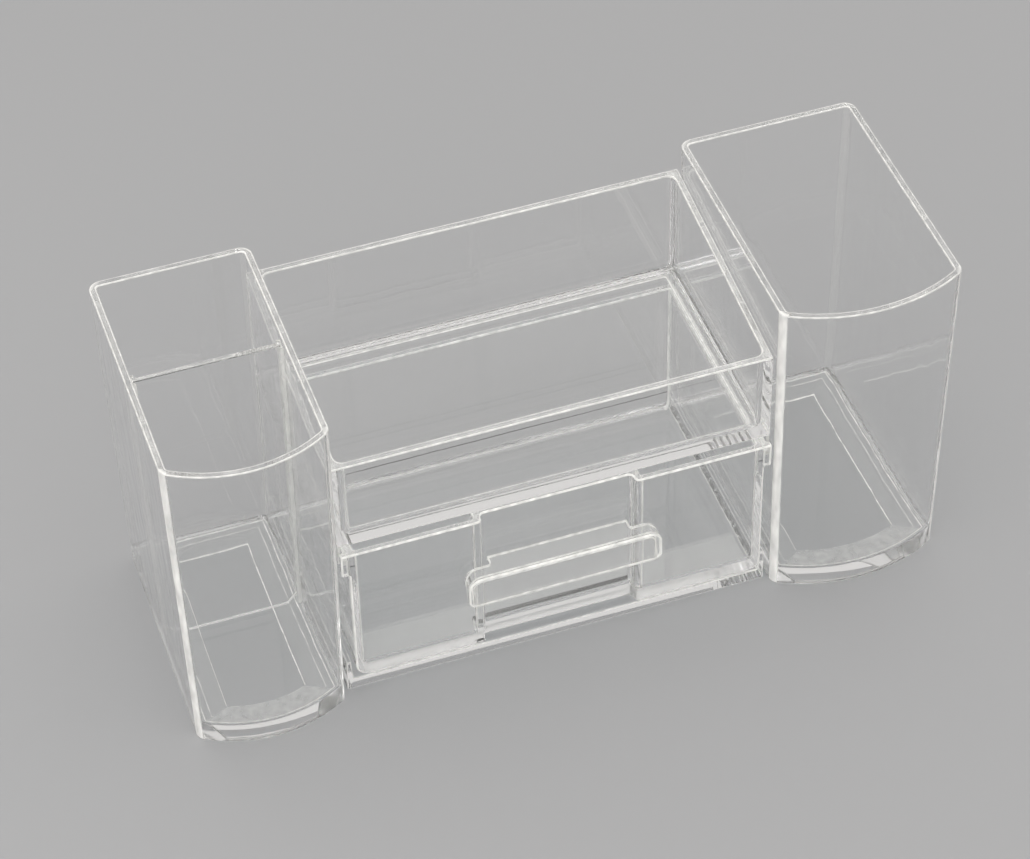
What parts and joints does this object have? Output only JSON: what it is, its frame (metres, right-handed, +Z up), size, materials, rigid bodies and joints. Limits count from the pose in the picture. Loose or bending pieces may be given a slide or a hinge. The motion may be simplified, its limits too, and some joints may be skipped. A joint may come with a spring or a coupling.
{
  "type": "brush holder with drawer",
  "caption": "Clear tabletop organiser: tall bow-fronted brush cups at the ends, an open tray between them and a sliding drawer with a finger pull under the tray.",
  "frame": {"origin": "on the resting plane, under the middle of the length and midway between the cups' front and back corners", "axes": "+X to the right seen from the front, -Y to the front, towards which the drawer opens, +Z up"},
  "size_m": [0.275, 0.103, 0.13],
  "materials": {
    "clear_styrene": "clear, colourless, polished injection-moulded polystyrene with faint moulding marks"
  },
  "bodies": {
    "carcass": {"left_cup": "clear_styrene", "left_cup_divider": "clear_styrene", "right_cup": "clear_styrene", "top_tray": "clear_styrene", "base_shell": "clear_styrene", "left_runner": "clear_styrene", "right_runner": "clear_styrene"},
    "drawer": {"drawer_tub": "clear_styrene", "drawer_pull": "clear_styrene"}
  },
  "joints": [
    {"name": "drawer_slide", "type": "slide", "parent": "carcass", "child": "drawer", "axis": [0, -1, 0], "range_m": [0, 0.07]}
  ]
}
